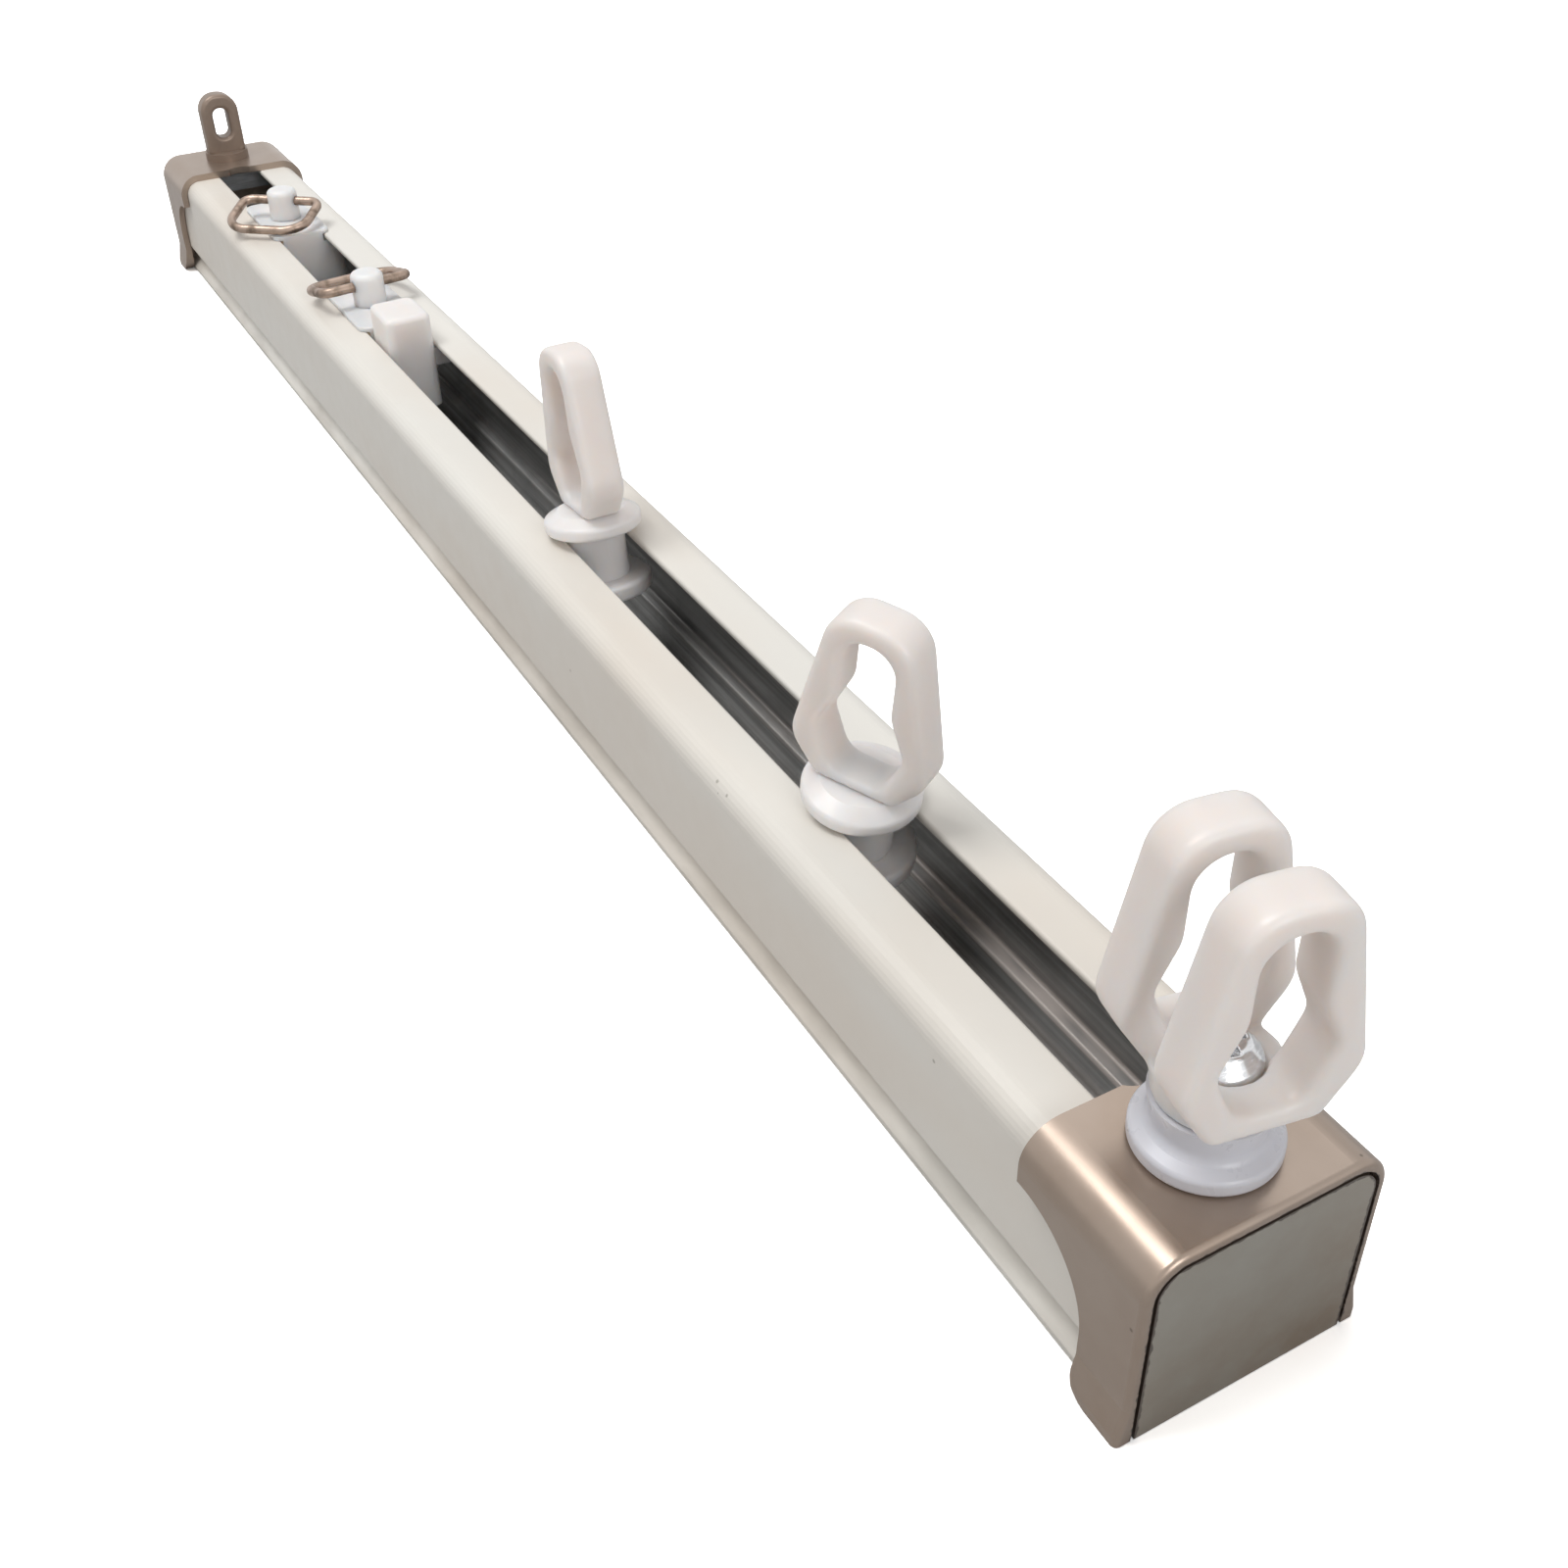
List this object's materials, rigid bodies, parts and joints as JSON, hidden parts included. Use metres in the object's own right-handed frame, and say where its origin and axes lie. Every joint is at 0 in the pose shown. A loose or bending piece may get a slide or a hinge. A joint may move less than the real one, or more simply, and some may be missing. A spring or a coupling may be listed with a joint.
{
  "type": "curtain track",
  "caption": "Roll-formed enamelled curtain track with end caps, swivelling eye runners, a sliding block and bail lead runners in its open slot.",
  "frame": {"origin": "middle of the track's length and width, on the flat back that the track rests on", "axes": "+X along the rail towards the end cap with the twin eye, +Z out of the slot, +Y across the rail"},
  "size_m": [0.26, 0.0212, 0.0421],
  "materials": {
    "rail_enamel": "cream stove enamel, semi gloss, bare grey steel inside the channel",
    "cap_satin": "champagne metallic lacquer, satin",
    "panel_satin": "fine satin, silver beige",
    "nut_zinc": "zinc plated",
    "screw_zinc": "bright plated",
    "eye_plastic": "translucent white, soft gloss",
    "disc_plastic": "white, soft gloss",
    "block_plastic": "white, satin",
    "bail_wire": "bronze-plated wire, satin",
    "bolt_lacquer": "taupe lacquer, satin"
  },
  "bodies": {
    "track": {"rail": "rail_enamel", "near_cap": "cap_satin", "near_cap_panel": "panel_satin", "near_clamp_nut": "nut_zinc", "near_eye_collar": "disc_plastic", "near_clamp_screw": "screw_zinc", "far_cap": "cap_satin", "far_cap_panel": "panel_satin", "far_clamp_nut": "nut_zinc", "far_eye_bolt": "bolt_lacquer"},
    "near_twin_eye_body": {"near_twin_eye": "eye_plastic"},
    "runner_1_slider": {"runner_1_glider": "disc_plastic"},
    "runner_1_eye_body": {"runner_1_eye": "eye_plastic"},
    "runner_2_slider": {"runner_2_glider": "disc_plastic"},
    "runner_2_eye_body": {"runner_2_eye": "eye_plastic"},
    "block_slider": {"slide_block": "block_plastic"},
    "lead_1_slider": {"lead_runner_1_body": "block_plastic"},
    "lead_1_post_body": {"lead_runner_1_post": "disc_plastic"},
    "lead_1_bail_body": {"lead_runner_1_bail": "bail_wire"},
    "lead_2_slider": {"lead_runner_2_body": "block_plastic"},
    "lead_2_post_body": {"lead_runner_2_post": "disc_plastic"},
    "lead_2_bail_body": {"lead_runner_2_bail": "bail_wire"}
  },
  "joints": [
    {"name": "near_eye_swivel", "type": "hinge", "parent": "track", "child": "near_twin_eye_body", "pos_m": [0.1231, 0, 0.024], "axis": [0, 0, 1], "continuous": true},
    {"name": "runner_1_slide", "type": "slide", "parent": "track", "child": "runner_1_slider", "axis": [1, 0, 0], "range_m": [-0.0203, 0.0255]},
    {"name": "runner_1_eye_swivel", "type": "hinge", "parent": "runner_1_slider", "child": "runner_1_eye_body", "pos_m": [0.08008, 0, 0.0176], "axis": [0.1564, 0, 0.9877], "continuous": true},
    {"name": "runner_2_slide", "type": "slide", "parent": "track", "child": "runner_2_slider", "axis": [1, 0, 0], "range_m": [-0.02, 0.0203]},
    {"name": "runner_2_eye_swivel", "type": "hinge", "parent": "runner_2_slider", "child": "runner_2_eye_body", "pos_m": [0.02581, 0, 0.01755], "axis": [-0.1478, 0, 0.989], "continuous": true},
    {"name": "block_slide", "type": "slide", "parent": "track", "child": "block_slider", "axis": [1, 0, 0], "range_m": [-0.0004, 0.0294]},
    {"name": "lead_1_slide", "type": "slide", "parent": "track", "child": "lead_1_slider", "axis": [1, 0, 0], "range_m": [-0.0117, 0.0004]},
    {"name": "lead_1_post_swivel", "type": "hinge", "parent": "lead_1_slider", "child": "lead_1_post_body", "pos_m": [-0.04853, 0, 0.0185], "axis": [0, 0, 1], "continuous": true},
    {"name": "lead_1_bail_hinge", "type": "hinge", "parent": "lead_1_post_body", "child": "lead_1_bail_body", "pos_m": [-0.04853, 0, 0.02005], "axis": [-0.1045, 0.9945, 0], "range_deg": [0, 205]},
    {"name": "lead_2_slide", "type": "slide", "parent": "track", "child": "lead_2_slider", "axis": [1, 0, 0], "range_m": [-0.0173, 0.0117]},
    {"name": "lead_2_post_swivel", "type": "hinge", "parent": "lead_2_slider", "child": "lead_2_post_body", "pos_m": [-0.08953, 0, 0.0185], "axis": [0, 0, 1], "continuous": true},
    {"name": "lead_2_bail_hinge", "type": "hinge", "parent": "lead_2_post_body", "child": "lead_2_bail_body", "pos_m": [-0.08953, 0, 0.02005], "axis": [-0.6428, -0.766, 0], "range_deg": [0, 205]}
  ]
}
